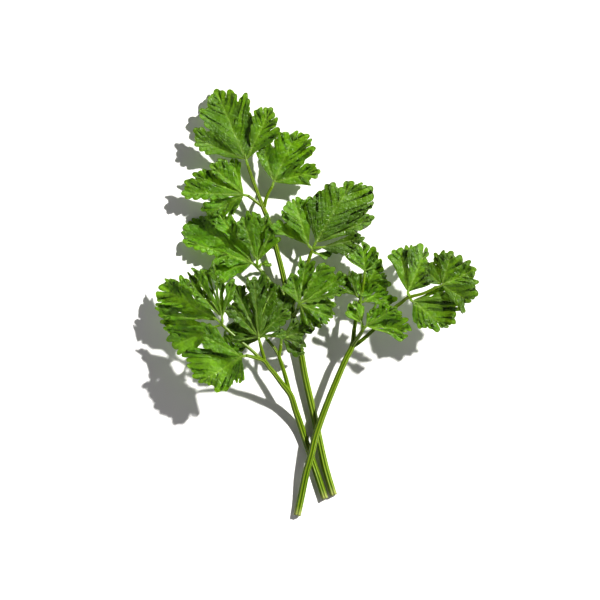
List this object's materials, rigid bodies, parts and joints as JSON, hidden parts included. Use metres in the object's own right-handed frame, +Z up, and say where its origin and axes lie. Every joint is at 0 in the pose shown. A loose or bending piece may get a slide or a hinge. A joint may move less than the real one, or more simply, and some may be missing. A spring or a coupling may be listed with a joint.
{
  "type": "parsley bunch",
  "caption": "Small loose bunch of cut parsley sprigs lying flat, with forked stalks crossing near their cut ends and lobed, toothed leaflets fanned out above.",
  "frame": {"origin": "middle of the bunch's bounding box in plan, on the surface that it lies on", "axes": "+Z up from the surface, +Y from the cut ends towards the tallest leaf, along the bunch's length"},
  "size_m": [0.1076, 0.1421, 0.0194],
  "materials": {
    "stalk": "fresh plant stalk, satin",
    "leaf": "fresh leaf, soft sheen"
  },
  "bodies": {
    "root": {"stalk_tall": "stalk", "stalk_left": "stalk", "stalk_right": "stalk", "tall_top_leaf": "leaf", "tall_upper_right_leaf": "leaf", "tall_upper_left_leaf": "leaf", "tall_left_leaf": "leaf", "tall_middle_leaf": "leaf", "tall_tiny_leaf": "leaf", "tall_right_left_leaf": "leaf", "tall_right_end_leaf": "leaf", "tall_right_lower_leaf": "leaf", "tall_right_small_leaf": "leaf", "tall_centre_leaf": "leaf", "left_far_leaf": "leaf", "left_upper_leaf": "leaf", "left_lower_leaf": "leaf", "left_inner_leaf": "leaf", "left_bottom_leaf": "leaf", "left_centre_leaf": "leaf", "left_middle_leaf": "leaf", "left_shaded_leaf": "leaf", "right_top_leaf": "leaf", "right_inner_left_leaf": "leaf", "right_inner_right_leaf": "leaf", "right_inner_shaded_leaf": "leaf", "right_inner_lower_leaf": "leaf", "right_low_leaf": "leaf", "right_end_left_leaf": "leaf", "right_end_tip_leaf": "leaf", "right_end_lower_leaf": "leaf"}
  },
  "joints": []
}
